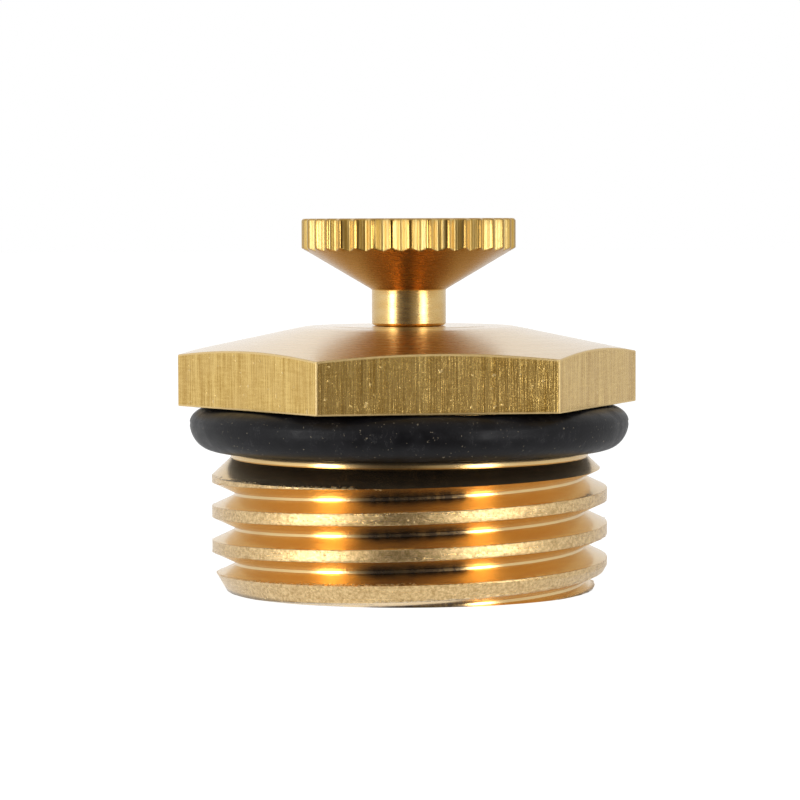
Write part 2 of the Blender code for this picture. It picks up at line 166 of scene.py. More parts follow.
def grid_mesh(name, points, loop=True, layers=None):
    """A surface from points[column][row], whose first and last columns lie on one another.

    The rows close on themselves when loop is set. Points that meet are welded, so that a row may
    shrink to nothing where its feature runs out, and a helix may shift its rows at the seam.
    """
    columns, rows, _ = points.shape
    mesh = bpy.data.meshes.new(name)
    index = np.arange(columns * rows).reshape(columns, rows)
    here = index if loop else index[:, :-1]
    above = np.roll(index, -1, axis=1) if loop else index[:, 1:]
    faces = np.stack([here[:-1], here[1:], above[1:], above[:-1]], axis=-1).reshape(-1, 4)
    mesh.from_pydata(points.reshape(-1, 3).tolist(), [], faces.tolist())
    for key, values in (layers or {}).items():
        mesh.attributes.new(key, "FLOAT", "POINT").data.foreach_set("value", values.ravel())
    bm = bmesh.new()
    bm.from_mesh(mesh)
    bmesh.ops.remove_doubles(bm, verts=bm.verts, dist=WELD)
    bmesh.ops.dissolve_degenerate(bm, edges=bm.edges, dist=WELD / 2)
    bmesh.ops.recalc_face_normals(bm, faces=bm.faces)
    bm.to_mesh(mesh)
    bm.free()
    return mesh


def finish_piece(mesh, body, node):
    """The mesh as a piece that stands for a CAD node and rides with its body."""
    obj = add_object(mesh.name, mesh)
    mesh.shade_smooth()
    mesh.set_sharp_from_angle(angle=math.radians(32))
    weighted = obj.modifiers.new("WeightedNormal", "WEIGHTED_NORMAL")
    weighted.keep_sharp = True
    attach(obj, body)
    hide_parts(node)
    return obj


def revolve(outlines, angles):
    """Columns of (radius, height) outlines turned to their angles about Z."""
    r, z = outlines[..., 0], outlines[..., 1]
    c, s = np.cos(angles)[:, None], np.sin(angles)[:, None]
    return np.stack([r * c, r * s, z], axis=-1)


def even_angles(count):
    """From 0 round to a whole turn, both included."""
    return np.linspace(0, 2 * math.pi, count + 1)


def turned_mesh(name, outline, columns=128):
    """The outline of (radius, height) points turned about Z, closed unless it ends on the axis."""
    angles = even_angles(columns)
    rows = np.array(outline, float)
    outlines = np.broadcast_to(rows, (len(angles), *rows.shape))
    return grid_mesh(name, revolve(outlines, angles), loop=outline[0][0] > 0)


def cut(mesh, cutter_mesh):
    """The mesh with the cutter's volume taken away."""
    piece, cutter = add_object("piece", mesh), add_object("cutter", cutter_mesh)
    modifier = piece.modifiers.new("Cut", "BOOLEAN")
    modifier.solver = "EXACT"
    modifier.object = cutter
    graph = bpy.context.evaluated_depsgraph_get()
    result = bpy.data.meshes.new_from_object(piece.evaluated_get(graph))
    name = mesh.name
    for obj in (piece, cutter):
        bpy.data.objects.remove(obj)
    for spent in (mesh, cutter_mesh):
        bpy.data.meshes.remove(spent)
    result.name = name
    return result


def cylinders(centres, radius, bottom, top, segments=32):
    """Upright cylinders at the (x, y) centres, as one mesh."""
    bm = bmesh.new()
    for x, y in centres:
        bmesh.ops.create_cone(
            bm,
            cap_ends=True,
            segments=segments,
            radius1=radius,
            radius2=radius,
            depth=top - bottom,
            matrix=Matrix.Translation((x, y, (bottom + top) / 2)),
        )
    return take_mesh(bm, "cylinders")


def slots(count, inner, outer, width, bottom, top):
    """Boxes that run outwards, evenly round Z, as one mesh."""
    bm = bmesh.new()
    size = Matrix.Diagonal((outer - inner, width, top - bottom, 1))
    place = Matrix.Translation(((inner + outer) / 2, 0, (bottom + top) / 2))
    for i in range(count):
        turn = Matrix.Rotation(2 * math.pi * i / count, 4, "Z")
        bmesh.ops.create_cube(bm, size=1, matrix=turn @ place @ size)
    return take_mesh(bm, "slots")


def ring_of(count, radius, phase=0.0):
    """Points (x, y) evenly round a circle."""
    turns = [phase + 2 * math.pi * i / count for i in range(count)]
    return [(radius * math.cos(a), radius * math.sin(a)) for a in turns]


def ease_edges(obj, width):
    """A small round on every sharp edge of a cut piece."""
    bevel = obj.modifiers.new("Bevel", "BEVEL")
    bevel.width = width
    bevel.segments = 2
    bevel.limit_method = "ANGLE"
    bevel.angle_limit = math.radians(35)
    bevel.harden_normals = True
    obj.modifiers.move(len(obj.modifiers) - 1, 0)


def rounded(outline, radius, steps=3):
    """The outline of (radius, height) corners with each corner off the axis rounded by an arc."""
    out = []
    count = len(outline)
    for i in range(count):
        before, here, after = (Vector(outline[(i + k) % count]) for k in (-1, 0, 1))
        if here.x <= 1e-9:
            out.append(tuple(here))
            continue
        back, on = (before - here), (after - here)
        reach = min(radius, back.length * 0.45, on.length * 0.45)
        start, end = here + back.normalized() * reach, here + on.normalized() * reach
        for k in range(steps + 1):
            t = k / steps
            out.append(tuple(start * (1 - t) ** 2 + here * 2 * t * (1 - t) + end * t**2))
    return out


def direction(azimuth, elevation=0.0):
    """Unit vector from the vent towards a camera or lamp at this azimuth."""
    a, e = math.radians(azimuth), math.radians(elevation)
    return Vector((math.sin(a) * math.cos(e), -math.cos(a) * math.cos(e), math.sin(e)))


def smooth_noise(points, scale, seed=SEED):
    """Perlin noise in -1..1 at each point, features about 1/scale across."""
    shift = Vector((seed * 3.1, seed * 1.7, seed * 2.3))
    flat = points.reshape(-1, 3) * scale
    values = [noise.noise(Vector(p) + shift) for p in flat]
    return np.array(values).reshape(points.shape[:-1])


# ---------------------------------------------------------------- materials


class Nodes:
    """A short way to write a node tree."""

    def __init__(self, tree):
        self.tree = tree

    def add(self, kind, settings=None, **inputs):
        node = self.tree.nodes.new("ShaderNode" + kind)
        for key, value in (settings or {}).items():
            setattr(node, key, value)
        for key, value in inputs.items():
            self.put(node.inputs[int(key[1:]) if key[0] == "i" and key[1:].isdigit() else key], value)
        return node

    def put(self, socket, value):
        if isinstance(value, bpy.types.NodeSocket):
            self.tree.links.new(value, socket)
        else:
            socket.default_value = value

    def math(self, operation, a, b=0.0, clamp=False):
        return self.add("Math", {"operation": operation, "use_clamp": clamp}, i0=a, i1=b).outputs[0]

    def plus(self, total, *parts):
        """The total with each part's value x weight added."""
        for value, weight in parts:
            total = self.math("ADD", total, self.math("MULTIPLY", value, weight))
        return total

    def vector_math(self, operation, a, b=(0, 0, 0)):
        return self.add("VectorMath", {"operation": operation}, i0=a, i1=b).outputs[0]

    def dot(self, vector, towards):
        node = self.add("VectorMath", {"operation": "DOT_PRODUCT"}, i0=vector, i1=towards)
        return node.outputs["Value"]

    def spread(self, value, low_in, high_in, low_out, high_out, kind="LINEAR"):
        ends = {"i1": low_in, "i2": high_in, "i3": low_out, "i4": high_out}
        return self.add("MapRange", {"interpolation_type": kind}, i0=value, **ends).outputs[0]

    def mix(self, share, a, b):
        """From colour a to colour b."""
        return self.add("Mix", {"data_type": "RGBA"}, i0=share, i6=a, i7=b).outputs[2]

    def mix_values(self, share, a, b):
        return self.add("Mix", {"data_type": "FLOAT"}, i0=share, i2=a, i3=b).outputs[0]

    def attribute(self, name):
        return self.add("Attribute", {"attribute_name": name}).outputs["Fac"]

    def position(self):
        """Object position in millimetres."""
        place = self.add("TexCoord").outputs["Object"]
        return self.vector_math("MULTIPLY", place, (1000, 1000, 1000))

    def noise(self, vector, scale, detail=2.0, roughness=0.5, w=None):
        settings = {"noise_dimensions": "4D"} if w is not None else None
        node = self.add("TexNoise", settings, Vector=vector, Scale=scale, Detail=detail)
        node.inputs["Roughness"].default_value = roughness
        if w is not None:
            self.put(node.inputs["W"], w)
        return node.outputs["Fac"]

    def bump(self, height, distance_mm, strength=1.0, normal=None):
        node = self.add("Bump", None, Strength=strength, Distance=distance_mm * MM, Height=height)
        if normal is not None:
            self.put(node.inputs["Normal"], normal)
        return node.outputs["Normal"]


class Material(Nodes):
    """A new material, written the same way."""

    def __init__(self, name):
        self.material = bpy.data.materials.new(name)
        self.material.use_nodes = True
        super().__init__(self.material.node_tree)
        self.shader = self.tree.nodes["Principled BSDF"]

    def set(self, **inputs):
        for key, value in inputs.items():
            self.put(self.shader.inputs[key.replace("_", " ")], value)


BRASS = (0.80, 0.54, 0.19, 1)
BRASS_RED = (0.77, 0.48, 0.15, 1)
BRASS_FLANK = (0.87, 0.62, 0.28, 1)
BRASS_FLANK_RED = (0.81, 0.54, 0.22, 1)
BRASS_PALE = (0.88, 0.66, 0.31, 1)
BRASS_DARK = (0.42, 0.265, 0.075, 1)
BRASS_SHADED = (0.45, 0.235, 0.055, 1)
LINE_DARK, LINE_PALE = (0.55, 0.32, 0.06, 1), (0.99, 0.695, 0.235, 1)
SMEAR_DARK, SMEAR_PALE = (0.54, 0.33, 0.11, 1), (0.99, 0.71, 0.34, 1)
FLUTE_DARK, FLUTE_PALE = (0.67, 0.415, 0.09, 1), (0.96, 0.72, 0.28, 1)
RIDGE_SHADE = (0.50, 0.30, 0.07, 1)
CHIP_GLINT = (1.0, 0.84, 0.55, 1)
# Dark brown of the shade painted into the thread's root and round its foot
THREAD_SHADE = (0.15, 0.09, 0.04, 1)
RUBBER_DARK, RUBBER_PALE = (0.006, 0.006, 0.008, 1), (0.013, 0.013, 0.016, 1)
LINT = (0.5, 0.5, 0.5, 1)
DUST = (0.42, 0.36, 0.26, 1)
FIBRE_DARK, FIBRE_PALE = (0.36, 0.22, 0.12, 1), (0.62, 0.45, 0.28, 1)
FIBRE_FLECK = (0.74, 0.62, 0.45, 1)
STEEL_DARK, STEEL_PALE = (0.46, 0.46, 0.45, 1), (0.66, 0.66, 0.64, 1)
ACETAL_PALE, ACETAL_DARK = (0.80, 0.79, 0.74, 1), (0.74, 0.73, 0.67, 1)
PTFE_PALE, PTFE_DARK = (0.86, 0.86, 0.84, 1), (0.80, 0.80, 0.78, 1)
WHITE = (1, 1, 1, 1)

# The way that the front of the thread faces, where shade is painted into its root
THREAD_SHADE_AZIMUTH = -6


def film(n, weight, roughness):
    """The thin oily film on the brass."""
    n.shader.inputs["Coat Weight"].default_value = weight
    n.shader.inputs["Coat Roughness"].default_value = roughness


def drawn_brass():
    """Flats of a drawn hexagonal bar: upright lines crossed by a fine grain, small nicks."""
    n = Material("drawn_brass")
    place = n.position()
    lines = n.vector_math("MULTIPLY", place, (1, 1, 0.02))
    fine = n.noise(lines, 14.0, 3, 0.75)
    broad = n.noise(lines, 2.6, 2, 0.6)
    weave = n.noise(n.vector_math("MULTIPLY", place, (1, 1, 0.5)), 10, 2, 0.8)
    cross = n.noise(n.vector_math("MULTIPLY", place, (0.15, 0.15, 1)), 9, 2, 0.6)
    cloud = n.noise(place, 0.5, 2)
    nicks = n.spread(n.noise(place, 3.4, 1), 0.715, 0.75, 0, 1)
    tone = n.plus(n.math("MULTIPLY", fine, 0.52), (broad, 0.22), (weave, 0.12), (cross, 0.14))
    colour = n.mix(n.spread(tone, 0.42, 0.57, 0, 1), LINE_DARK, LINE_PALE)
    colour = n.mix(n.spread(cloud, 0.35, 0.7, 0, 0.4), colour, BRASS)
    # Edges and corners are paler and rougher: partly wear, partly a painted highlight of the rounded
    # edge
    edge = n.spread(n.attribute("edge"), 0.82, 0.95, 0, 1)
    colour = n.mix(edge, colour, BRASS_PALE)
    colour = n.mix(n.math("MULTIPLY", nicks, 0.8), colour, BRASS_PALE)
    rough = n.plus(n.spread(weave, 0.3, 0.7, 0.22, 0.30), (nicks, 0.2), (edge, 0.25))
    height = n.plus(n.math("MULTIPLY", fine, 0.6), (broad, 0.8), (weave, 0.15), (nicks, -0.8))
    n.set(Base_Color=colour, Metallic=1.0, Roughness=rough, Normal=n.bump(height, 0.0155))
    film(n, 0.15, 0.5)
    return n.material


def lathe_coordinates(n, place, along_turn):
    """A vector for marks that run round the axis, then the height and the radius.

    The vector turns with the direction from the axis, along_turn as fast, and rises with the radius.
    """
    flat = n.vector_math("MULTIPLY", place, (1, 1, 0))
    radius = n.add("VectorMath", {"operation": "LENGTH"}, i0=flat).outputs["Value"]
    around = n.add("VectorMath", {"operation": "NORMALIZE"}, i0=flat).outputs[0]
    around = n.vector_math("MULTIPLY", around, (along_turn, along_turn, 0))
    out = n.add("CombineXYZ", None, Z=radius).outputs[0]
    height = n.add("SeparateXYZ", None, Vector=place).outputs["Z"]
    return n.vector_math("ADD", around, out), height, radius


def turned_brass(
    name, rough_low=0.22, rough_high=0.32, depth=0.004, rings=14.0, film_rough=0.2, underside_shade=0.0
):
    """A lathe-turned face: fine rings round the axis, on brass that is painted browner and darker as the
    share of painted shade goes to 1.
    """
    n = Material(name)
    place = n.position()
    vector, height, _ = lathe_coordinates(n, place, 0.25)
    marks = n.noise(vector, rings, 3, 0.7, n.math("MULTIPLY", height, 0.9))
    coarse = n.noise(vector, rings * 0.3, 2, 0.6, n.math("MULTIPLY", height, 0.4))
    cloud = n.noise(place, 0.45, 2)
    tint = n.mix(n.spread(marks, 0.36, 0.64, 0, 1), BRASS_RED, BRASS)
    tint = n.mix(n.spread(coarse, 0.42, 0.66, 0, 0.5), tint, BRASS_PALE)
    tint = n.mix(n.spread(cloud, 0.35, 0.7, 0, 0.3), tint, BRASS_RED)
    # Painted shade: the tint goes towards a darker brown
    tint = n.mix(underside_shade, tint, BRASS_SHADED)
    rough = n.spread(marks, 0.3, 0.7, rough_low, rough_high)
    n.set(Base_Color=tint, Metallic=1.0, Roughness=rough, Normal=n.bump(marks, depth))
    film(n, 1.0 - 0.5 * underside_shade, film_rough)
    return n.material


def threaded_brass():
    """Smooth cut flanks, with the crests left paler, smeared and speckled with burrs. The burrs carry a
    painted glint, and painted shade darkens the root over the front and a line round the foot.
    """
    n = Material("threaded_brass")
    place = n.position()
    vector, height, radius = lathe_coordinates(n, place, 0.5)
    marks = n.noise(vector, 9, 2, 0.6, n.math("MULTIPLY", height, 0.9))
    around, _, _ = lathe_coordinates(n, place, 40.0)
    smear = n.noise(around, 1.6, 4, 0.75, n.math("MULTIPLY", height, 4.5))
    specks = n.spread(n.noise(place, 5.0, 2), 0.66, 0.74, 0, 1)
    crest = n.attribute("crest")
    burr = n.attribute("burr")
    flank = n.mix(n.spread(marks, 0.35, 0.65, 0, 1), BRASS_FLANK_RED, BRASS_FLANK)
    worn = n.mix(n.spread(smear, 0.38, 0.62, 0, 1), SMEAR_DARK, SMEAR_PALE)
    worn = n.mix(n.math("MULTIPLY", specks, 0.8), worn, BRASS_PALE)
    colour = n.mix(crest, flank, worn)
    # Burrs in patches are raised and rough, and painted pale as a painted glint
    chips = n.math("MULTIPLY", burr, n.spread(n.noise(place, 4.2, 3, 0.7), 0.50, 0.58, 0, 1))
    colour = n.mix(n.math("MULTIPLY", chips, 0.9), colour, CHIP_GLINT)
    # Painted shade: the root over the front of the thread, on the camera's side, is painted dark brown
    flat = n.vector_math("NORMALIZE", n.vector_math("MULTIPLY", place, (1, 1, 0)))
    thread_shade = n.spread(n.dot(flat, direction(THREAD_SHADE_AZIMUTH)), 0.945, 0.975, 0, 1)
    thread_shade = n.math("MULTIPLY", thread_shade, n.spread(n.noise(place, 2.4, 4, 0.7), 0.34, 0.56, 0.45, 1))
    thread_shade = n.math("MULTIPLY", thread_shade, n.attribute("root"), True)
    # and painted shade in a line round the thread's foot, next to the floor
    foot = n.spread(height, 0.08, 0.24, 0.75, 0)
    foot = n.math("MULTIPLY", foot, n.spread(radius, 9.56, 9.62, 0, 1))
    thread_shade = n.math("MAXIMUM", thread_shade, foot)
    colour = n.mix(thread_shade, colour, THREAD_SHADE)
    rough = n.plus(n.spread(marks, 0.3, 0.7, 0.16, 0.24), (crest, 0.09), (chips, 0.4))
    rugged = n.math("MULTIPLY", n.plus(smear, (specks, 0.8)), crest)
    rugged = n.plus(rugged, (chips, 1.5))
    normal = n.bump(rugged, 0.03, 1.0, n.bump(marks, 0.003))
    n.set(Base_Color=colour, Metallic=1.0, Roughness=rough, Normal=normal)
    film(n, 1.0, 0.5)
    return n.material


def knurled_brass():
    """Broached flutes with fine upright marks, and lands painted darker as a painted reflection."""
    n = Material("knurled_brass")
    place = n.position()
    lines = n.noise(n.vector_math("MULTIPLY", place, (1, 1, 0.008)), 9, 2, 0.6)
    flecks = n.noise(place, 6, 3, 0.7)
    colour = n.mix(n.spread(lines, 0.40, 0.60, 0, 1), FLUTE_DARK, FLUTE_PALE)
    colour = n.mix(n.spread(flecks, 0.58, 0.72, 0, 0.4), colour, BRASS_DARK)
    # The lands are painted darker: a painted reflection of the dim room on the camera's side
    land = n.attribute("land")
    colour = n.mix(land, colour, RIDGE_SHADE)
    rough = n.spread(land, 0, 1, 0.44, 0.20)
    n.set(Base_Color=colour, Metallic=1.0, Roughness=rough, Normal=n.bump(lines, 0.03))
    film(n, 0.2, 0.2)
    return n.material


def black_rubber():
    """Moulded rubber with specks of brass dust and pale lint on it."""
    n = Material("black_rubber")
    place = n.position()
    grain = n.noise(place, 9, 3, 0.6)
    cloud = n.noise(place, 1.1, 3)
    dust = n.spread(n.noise(place, 6.5, 2), 0.70, 0.73, 0, 1)
    fibre = n.noise(n.vector_math("MULTIPLY", place, (1.4, 1.4, 0.35)), 2.6, 4, 0.6)
    lint = n.spread(n.math("ABSOLUTE", n.math("SUBTRACT", fibre, 0.52)), 0.0, 0.008, 1, 0)
    lint = n.math("MULTIPLY", lint, n.spread(cloud, 0.52, 0.62, 0, 1), True)
    colour = n.mix(n.spread(cloud, 0.4, 0.7, 0, 1), RUBBER_DARK, RUBBER_PALE)
    colour = n.mix(n.math("MULTIPLY", lint, 0.15), colour, LINT)
    colour = n.mix(n.math("MULTIPLY", dust, 0.5), colour, DUST)
    rough = n.spread(cloud, 0.35, 0.7, 0.34, 0.5)
    n.set(Base_Color=colour, Roughness=rough, Normal=n.bump(grain, 0.012))
    n.shader.inputs["Specular IOR Level"].default_value = 0.20
    return n.material


def plastic(name, colour, shade):
    n = Material(name)
    place = n.position()
    grain = n.noise(place, 12, 3)
    tint = n.mix(n.spread(n.noise(place, 0.8, 2), 0.35, 0.65, 0, 1), colour, shade)
    n.set(Base_Color=tint, Roughness=n.spread(grain, 0.3, 0.7, 0.4, 0.55), Normal=n.bump(grain, 0.006))
    return n.material


def pressed_fibre():
    n = Material("pressed_fibre")
    place = n.position()
    strands = n.noise(n.vector_math("MULTIPLY", place, (1, 0.35, 2.0)), 6, 4, 0.7)
    flecks = n.noise(place, 15, 2, 0.7)
    tint = n.mix(n.spread(strands, 0.35, 0.65, 0, 1), FIBRE_DARK, FIBRE_PALE)
    tint = n.mix(n.spread(flecks, 0.6, 0.75, 0, 0.6), tint, FIBRE_FLECK)
    n.set(Base_Color=tint, Roughness=0.9, Normal=n.bump(strands, 0.03))
    return n.material


def spring_steel():
    n = Material("spring_steel")
    place = n.position()
    vector, height, _ = lathe_coordinates(n, place, 0.6)
    marks = n.noise(vector, 12, 3, 0.6, n.math("MULTIPLY", height, 0.9))
    tint = n.mix(n.spread(marks, 0.35, 0.65, 0, 1), STEEL_DARK, STEEL_PALE)
    rough = n.spread(marks, 0.3, 0.7, 0.2, 0.36)
    n.set(Base_Color=tint, Metallic=1.0, Roughness=rough, Normal=n.bump(marks, 0.004))
    return n.material


def give(obj, *materials):
    obj.data.materials.clear()
    for mat in materials:
        obj.data.materials.append(mat)


# ---------------------------------------------------------------- plug


def cone_height(radius):
    slope = (PLATEAU_HEIGHT - HEX_CORNER_TOP) / (HEX_CORNER - PLATEAU_RADIUS)
    return PLATEAU_HEIGHT - (radius - PLATEAU_RADIUS) * slope


def hexagon_radius(angles):
    """The hexagon's edge at each angle, corners on the X axis, rounded."""
    turn = np.mod(angles + math.pi / 6, math.pi / 3) - math.pi / 6
    flat = HEX_FLAT / np.cos(math.pi / 6 - np.abs(turn))
    centre = HEX_CORNER - 2 * HEX_CORNER_ROUND / math.sqrt(3)
    half = np.abs(turn)
    inside = np.maximum(HEX_CORNER_ROUND**2 - (centre * np.sin(half)) ** 2, 0)
    round_corner = centre * np.cos(half) + np.sqrt(inside)
    tangent = math.atan2(HEX_CORNER_ROUND / 2, centre + HEX_CORNER_ROUND * math.cos(math.pi / 6))
    return np.where(half < tangent, round_corner, flat)


def plug_angles():
    """Even columns, with more of them round each corner of the hexagon, over a whole turn."""
    corner_half = math.radians(0.5)
    corner = np.linspace(0, corner_half, 6)
    flat = np.linspace(corner_half, math.pi / 3 - corner_half, 62)[1:-1]
    side = np.concatenate([corner, flat, math.pi / 3 - corner[:0:-1]])
    return np.append(np.concatenate([side + k * math.pi / 3 for k in range(6)]), 2 * math.pi)


def thread_profile():
    """(distance from the groove's middle, radius) over half a pitch, edges and root eased."""
    half_root = ROOT_WIDTH / 2
    half_crest = (THREAD_PITCH - CREST_WIDTH) / 2
    root = THREAD_RADIUS - THREAD_DEPTH
    ease = 0.035 * MM
    points = [(0.0, root), (half_root, root + 0.012 * MM)]
    for share in (0.06, 0.25, 0.5, 0.75):
        lift = 0.006 * MM * (share < 0.1)
        offset = half_root + (half_crest - half_root) * share
        points.append((offset, root + THREAD_DEPTH * share + lift))
    points += [
        (half_crest - ease * 0.45, THREAD_RADIUS - ease * 0.95),
        (half_crest, THREAD_RADIUS - ease * 0.3),
        (half_crest + ease * 0.7, THREAD_RADIUS),
        (half_crest + CREST_WIDTH * 0.3, THREAD_RADIUS),
        (THREAD_PITCH / 2, THREAD_RADIUS),
    ]
    return points


def blank_radius(heights):
    """The turned blank that the thread is cut in, with its two chamfers."""
    bottom = END_RADIUS + heights * (THREAD_RADIUS - END_RADIUS) / END_CHAMFER_HEIGHT
    share = (LIP_BOTTOM - heights) / (LIP_BOTTOM - THREAD_TOP)
    top = LIP_RADIUS + share * (THREAD_RADIUS - LIP_RADIUS)
    return np.minimum(bottom, top)


def thread_outlines(angles):
    """Outline columns over the threaded length, from the end face up to the lip."""
    half = thread_profile()
    offsets = np.array([-s for s, _ in reversed(half)] + [s for s, _ in half[1:]])
    radii = np.array([r for _, r in reversed(half)] + [r for _, r in half[1:]])
    first = CREST_AT_X - GROOVE_BELOW * THREAD_PITCH
    end = CREST_AT_X + GROOVE_ABOVE * THREAD_PITCH
    columns = []
    for angle in angles:
        middles = first + THREAD_PITCH * (np.arange(8) + angle / (2 * math.pi))
        rows_r, rows_z = [], []
        for middle in middles:
            fade = min(max((end - middle) / (0.2 * THREAD_PITCH), 0.0), 1.0)
            z = np.clip(middle + offsets, 0, LIP_BOTTOM)
            groove = np.interp(z - middle, offsets, radii)
            rows_r.append(THREAD_RADIUS - (THREAD_RADIUS - groove) * fade)
            rows_z.append(z)
        r, z = np.concatenate(rows_r), np.concatenate(rows_z)
        r[z <= 0] = r[z <= 0].min()
        over = r - blank_radius(z)
        a, b = over[:-1], over[1:]
        crosses = (a * b) < 0
        share = np.where(crosses, a / np.where(crosses, a - b, 1), 0)
        cross_z = z[:-1] + share * (z[1:] - z[:-1])
        cross_r = np.where(crosses, blank_radius(cross_z), np.minimum(r[:-1], blank_radius(z[:-1])))
        cross_z = np.where(crosses, cross_z, z[:-1])
        r = np.minimum(r, blank_radius(z))
        merged = np.empty((len(r) * 2 - 1, 2))
        merged[0::2, 0], merged[0::2, 1] = r, z
        merged[1::2, 0], merged[1::2, 1] = cross_r, cross_z
        columns.append(merged)
    return np.array(columns)


def plug_rest_outline(edge):
    """The plug's outline above the thread, at a column where the hexagon's edge is at radius edge."""
    ease = 0.05 * MM
    edge_top = cone_height(edge)
    rows = [
        (LIP_RADIUS + LIP_SWELL, LIP_BOTTOM + LIP_SWELL),
        (LIP_RADIUS + LIP_SWELL, LIP_TOP - 0.05 * MM),
        (LIP_RADIUS, LIP_TOP),
        (RING_GROOVE_RADIUS + 0.05 * MM, LIP_TOP),
        (RING_GROOVE_RADIUS, LIP_TOP + 0.05 * MM),
        (RING_GROOVE_RADIUS, HEAD_BOTTOM - 0.05 * MM),
        (RING_GROOVE_RADIUS + 0.05 * MM, HEAD_BOTTOM),
        (HEX_FLAT - 0.5 * MM, HEAD_BOTTOM),
        (edge - 2 * ease, HEAD_BOTTOM),
        (edge - ease, HEAD_BOTTOM),
        (edge - 0.3 * ease, HEAD_BOTTOM + 0.3 * ease),
        (edge, HEAD_BOTTOM + ease),
    ]
    for share in (0.15, 0.5, 0.85):
        rows.append((edge, HEAD_BOTTOM + share * (edge_top - HEAD_BOTTOM)))
    rows += [
        (edge, edge_top - ease),
        (edge - 0.3 * ease, edge_top - 0.25 * ease),
        (edge - ease, cone_height(edge - ease)),
        (edge - 2 * ease, cone_height(edge - 2 * ease)),
    ]
    for share in (0.1, 0.3, 0.5, 0.7, 0.9):
        radius = edge + (PLATEAU_RADIUS - edge) * share
        rows.append((radius, cone_height(radius)))
    flat = PLATEAU_HEIGHT - PLATEAU_STEP
    rows += [
        (PLATEAU_RADIUS + 0.06 * MM, cone_height(PLATEAU_RADIUS + 0.06 * MM) - 0.012 * MM),
        (PLATEAU_RADIUS - 0.05 * MM, flat),
        (PLATEAU_STEP_RADIUS + PLATEAU_STEP, flat),
        (PLATEAU_STEP_RADIUS - PLATEAU_STEP, flat + 0.018 * MM),
        (2 * STEM_HOLE_RADIUS, PLATEAU_HEIGHT),
        (STEM_HOLE_MOUTH, PLATEAU_HEIGHT),
        (STEM_HOLE_BEVEL, PLATEAU_HEIGHT - 0.01 * MM),
        (STEM_HOLE_RADIUS, PLATEAU_HEIGHT - 0.25 * MM),
        (STEM_HOLE_RADIUS, STEM_SEAT),
        (VENT_HOLE_RADIUS, STEM_SEAT),
        (VENT_HOLE_RADIUS, CHAMBER_ROOF),
        (CHAMBER_RADIUS, CHAMBER_ROOF),
        (CHAMBER_RADIUS, MOUTH_STEP),
        (MOUTH_RADIUS, MOUTH_STEP),
        (MOUTH_RADIUS, SNAP_GROOVE_TOP),
        (SNAP_GROOVE_RADIUS, SNAP_GROOVE_TOP),
        (SNAP_GROOVE_RADIUS, SNAP_GROOVE_BOTTOM),
        (MOUTH_RADIUS, SNAP_GROOVE_BOTTOM),
        (MOUTH_RADIUS, MOUTH_CHAMFER),
        (MOUTH_RADIUS + MOUTH_CHAMFER, 0),
    ]
    return rows + [(radius, 0) for radius in END_FACE_ROWS]


def head_edge_layer(shape, angles, first):
    """1 on the hexagon's edges and corners.

    The rows are counted from row first, where plug_rest_outline's own rows start.
    """
    edge = np.zeros(shape)
    edge[:, first + 8 : first + 12] = 1
    edge[:, first + 15 : first + 19] = 1
    turn = np.abs(np.mod(angles + math.pi / 6, math.pi / 3) - math.pi / 6)
    edge[turn < math.radians(0.36), first + 8 : first + 19] = 1
    return edge


def make_plug(drawn, turned, threaded):
    angles = plug_angles()
    thread = thread_outlines(angles)
    rest = np.array([plug_rest_outline(edge) for edge in hexagon_radius(angles)])
    outlines = np.concatenate([thread, rest], axis=1)
    r, z = outlines[..., 0], outlines[..., 1]
    on_thread = np.zeros(r.shape)
    on_thread[:, : thread.shape[1]] = 1
    crest = on_thread * (r > np.minimum(THREAD_RADIUS, blank_radius(z)) - 0.02 * MM)
    crest *= z < THREAD_TOP + 0.02 * MM
    burr = crest * (np.roll(crest, 1, axis=1) + np.roll(crest, -1, axis=1) < 1.5)
    depth = (THREAD_RADIUS - r) / THREAD_DEPTH
    root = on_thread * np.clip((depth - 0.75) / 0.2, 0, 1) * (z < THREAD_TOP)
    # Crests are a little uneven, and their edges carry burrs in patches
    points = revolve(outlines, angles)
    wobble = smooth_noise(points, 5000) * 0.006 * MM + smooth_noise(points, 1500, 3) * 0.004 * MM
    patches = np.maximum(smooth_noise(points, 700, 11) + 0.2, 0)
    burrs = np.maximum(smooth_noise(points, 4200, 9), 0) * patches
    outlines[..., 0] += crest * wobble + burr * burrs * 0.22 * MM
    points = revolve(outlines, angles)
    edge = head_edge_layer(crest.shape, angles, thread.shape[1])
    layers = {"crest": crest, "edge": edge, "burr": burr, "root": root}
    mesh = grid_mesh("plug_body_fine", points, layers=layers)
    obj = finish_piece(mesh, "plug", "plug_body")
    give(obj, turned, drawn, threaded)
    for face in obj.data.polygons:
        centre = face.center
        radius = math.hypot(centre.x, centre.y)
        if centre.z < LIP_TOP - 0.01 * MM and radius > INSIDE_OF_THREAD:
            face.material_index = 2
        elif centre.z > HEAD_BOTTOM and radius > HEX_FLAT - 0.03 * MM and abs(face.normal.z) < 0.6:
            face.material_index = 1
    return obj


